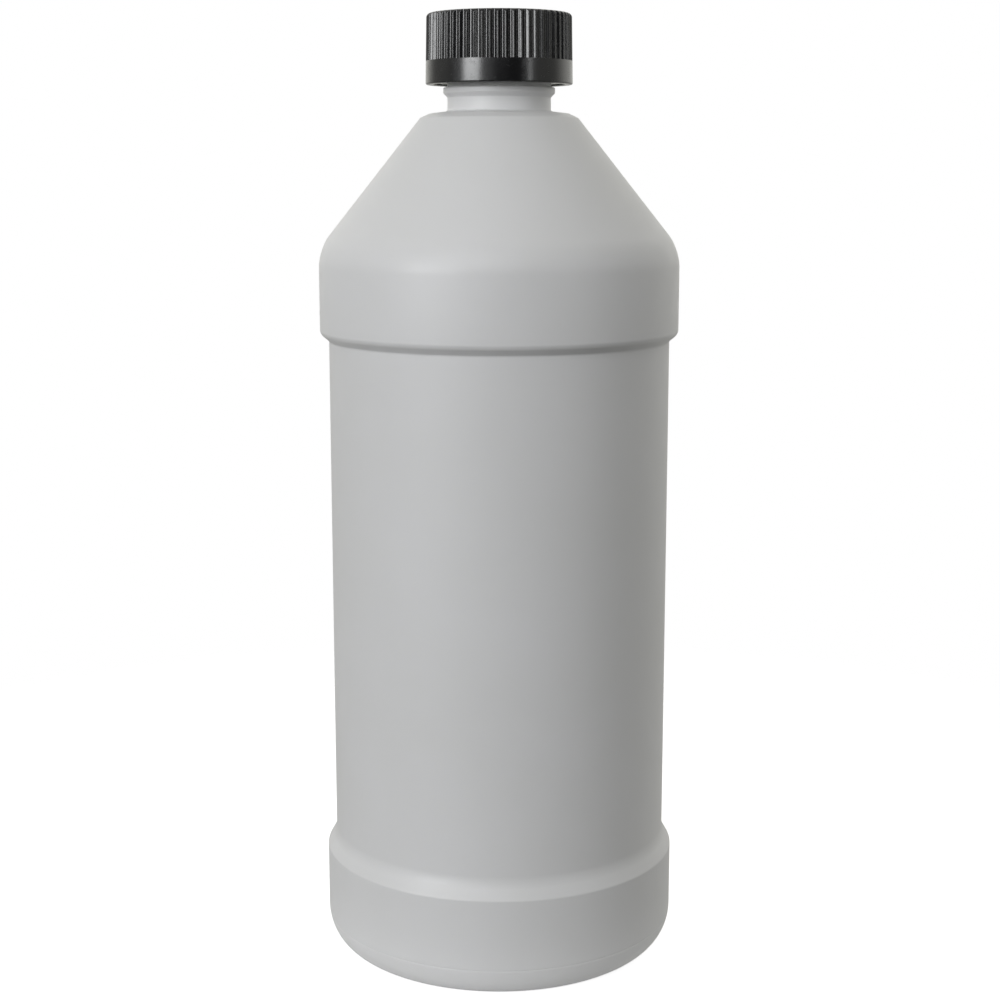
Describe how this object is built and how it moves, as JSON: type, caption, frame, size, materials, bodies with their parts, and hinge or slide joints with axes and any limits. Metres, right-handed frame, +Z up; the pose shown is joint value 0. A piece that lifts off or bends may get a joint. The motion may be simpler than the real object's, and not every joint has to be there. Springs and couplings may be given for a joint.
{
  "type": "child-resistant bottle",
  "caption": "Round white plastic bottle with recessed label panel, conical shoulder and short threaded neck, closed by a black two-piece push-and-turn child-resistant cap.",
  "frame": {"origin": "centre of the flat ring that the bottle stands on", "axes": "+Z up along the bottle's axis, towards the cap; -Y towards the camera of the picture; the neck's thread starts at its foot on +X"},
  "size_m": [0.0888, 0.0888, 0.2342],
  "materials": {
    "bottle_white": "fine matte blown polyethylene",
    "liner_foam": "soft foamed polyethylene",
    "inner_white": "moulded polypropylene, satin",
    "cap_black": "moulded polypropylene, glossy band and ribs"
  },
  "bodies": {
    "bottle": {"bottle": "bottle_white"},
    "liner": {"cap_liner": "liner_foam"},
    "inner": {"inner_cap": "inner_white"},
    "outer": {"outer_cap": "cap_black"}
  },
  "joints": [
    {"name": "cap_turn", "type": "hinge", "parent": "liner", "child": "inner", "pos_m": [0, 0, 0.2], "axis": [0, 0, 1], "range_deg": [0, 1800]},
    {"name": "cap_lift", "type": "slide", "parent": "bottle", "child": "liner", "axis": [0, 0, 1], "range_m": [0, 0.02117]},
    {"name": "cap_press", "type": "slide", "parent": "inner", "child": "outer", "axis": [0, 0, -1], "range_m": [0, 0.0017], "stiffness_N_per_m": 1500, "springref_m": -0.001}
  ],
  "couplings": [
    {"joint": "cap_lift", "follows": "cap_turn", "m_per_rad": 0.0006737}
  ]
}
